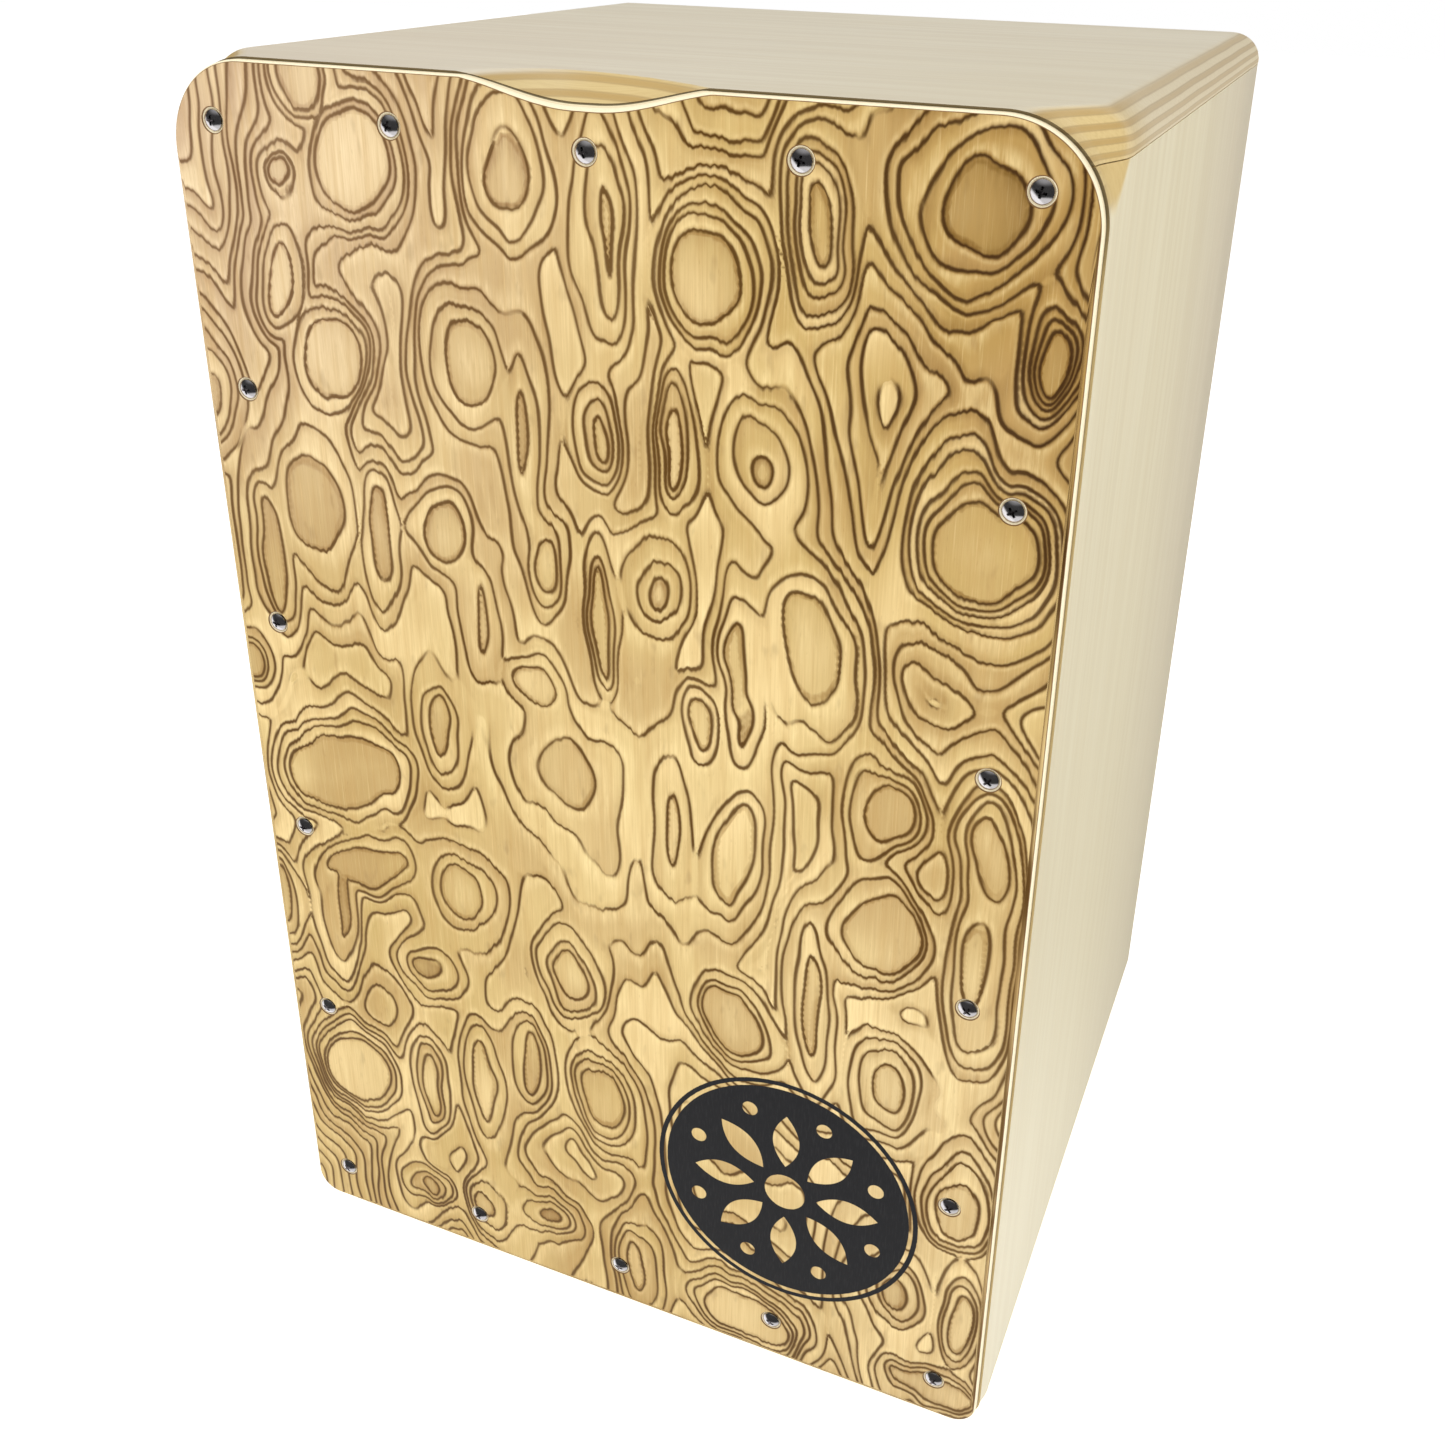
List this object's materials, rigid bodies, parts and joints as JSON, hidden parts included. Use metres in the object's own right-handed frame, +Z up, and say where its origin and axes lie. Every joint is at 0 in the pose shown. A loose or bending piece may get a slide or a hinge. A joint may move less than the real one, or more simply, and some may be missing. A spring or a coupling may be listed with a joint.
{
  "type": "cajon",
  "caption": "Box drum with a screwed-on figured veneer playing face, rounded plywood seat, rear sound port, rubber feet and tunable internal snare strings.",
  "frame": {"origin": "on the floor, under the centre of the whole object's footprint", "axes": "+Z up, -Y towards the player's hands (out of the playing face), +X to the right when looking at the playing face"},
  "size_m": [0.301, 0.3096, 0.4865],
  "materials": {
    "tapa_veneer": "satin lacquer over figured contour-grain veneer on light three-ply",
    "seat_birch": "satin lacquer on pale birch plywood, plies showing on the rounded edge",
    "side_birch": "satin lacquer on pale birch plywood",
    "batten_pine": "planed, unfinished",
    "anchor_beech": "planed, unfinished",
    "chrome_screws": "bright plated",
    "zinc_steel": "zinc plated",
    "string_steel": "plain drawn wire",
    "brass_bushes": "turned",
    "foot_rubber": "matt moulded"
  },
  "bodies": {
    "case": {"front_panel": "tapa_veneer", "top_panel": "seat_birch", "bottom_panel": "side_birch", "side_left": "side_birch", "side_right": "side_birch", "back_panel": "side_birch", "front_batten_top": "batten_pine", "front_batten_bottom": "batten_pine", "front_batten_left": "batten_pine", "front_batten_right": "batten_pine", "back_batten_top": "batten_pine", "back_batten_bottom": "batten_pine", "back_batten_left": "batten_pine", "back_batten_right": "batten_pine", "front_screw_01": "chrome_screws", "front_screw_02": "chrome_screws", "front_screw_03": "chrome_screws", "front_screw_04": "chrome_screws", "front_screw_05": "chrome_screws", "front_screw_06": "chrome_screws", "front_screw_07": "chrome_screws", "front_screw_08": "chrome_screws", "front_screw_09": "chrome_screws", "front_screw_10": "chrome_screws", "front_screw_11": "chrome_screws", "front_screw_12": "chrome_screws", "front_screw_13": "chrome_screws", "front_screw_14": "chrome_screws", "front_screw_15": "chrome_screws", "front_screw_16": "chrome_screws", "front_screw_17": "chrome_screws", "front_screw_18": "chrome_screws", "foot_front_left": "foot_rubber", "foot_front_right": "foot_rubber", "foot_back_left": "foot_rubber", "foot_back_right": "foot_rubber", "foot_screw_front_left": "zinc_steel", "foot_screw_front_right": "zinc_steel", "foot_screw_back_left": "zinc_steel", "foot_screw_back_right": "zinc_steel", "string_anchor_bar": "anchor_beech", "anchor_screw_left": "zinc_steel", "anchor_screw_right": "zinc_steel", "tuner_bush_left": "brass_bushes", "tuner_bush_right": "brass_bushes", "snare_string_left_inner": "string_steel", "snare_string_left_outer": "string_steel", "snare_string_right_inner": "string_steel", "snare_string_right_outer": "string_steel"},
    "left_tuner_bolt": {"tuner_bolt_left": "zinc_steel"},
    "right_tuner_bolt": {"tuner_bolt_right": "zinc_steel"},
    "left_string_yoke": {"string_yoke_left": "zinc_steel"},
    "right_string_yoke": {"string_yoke_right": "zinc_steel"}
  },
  "joints": [
    {"name": "left_yoke_travel", "type": "slide", "parent": "case", "child": "left_string_yoke", "axis": [0, 0, 1], "range_m": [-0.002, 0.002], "deforming": ["snare_string_left_inner", "snare_string_left_outer"]},
    {"name": "left_bolt_turn", "type": "hinge", "parent": "case", "child": "left_tuner_bolt", "pos_m": [-0.045, -0.12525, 0.02], "axis": [0, 0, 1], "range_deg": [-720, 720]},
    {"name": "right_yoke_travel", "type": "slide", "parent": "case", "child": "right_string_yoke", "axis": [0, 0, 1], "range_m": [-0.002, 0.002], "deforming": ["snare_string_right_inner", "snare_string_right_outer"]},
    {"name": "right_bolt_turn", "type": "hinge", "parent": "case", "child": "right_tuner_bolt", "pos_m": [0.045, -0.12525, 0.02], "axis": [0, 0, 1], "range_deg": [-720, 720]}
  ],
  "couplings": [
    {"joint": "left_bolt_turn", "follows": "left_yoke_travel", "rad_per_m": -6283.2},
    {"joint": "right_bolt_turn", "follows": "right_yoke_travel", "rad_per_m": -6283.2}
  ]
}
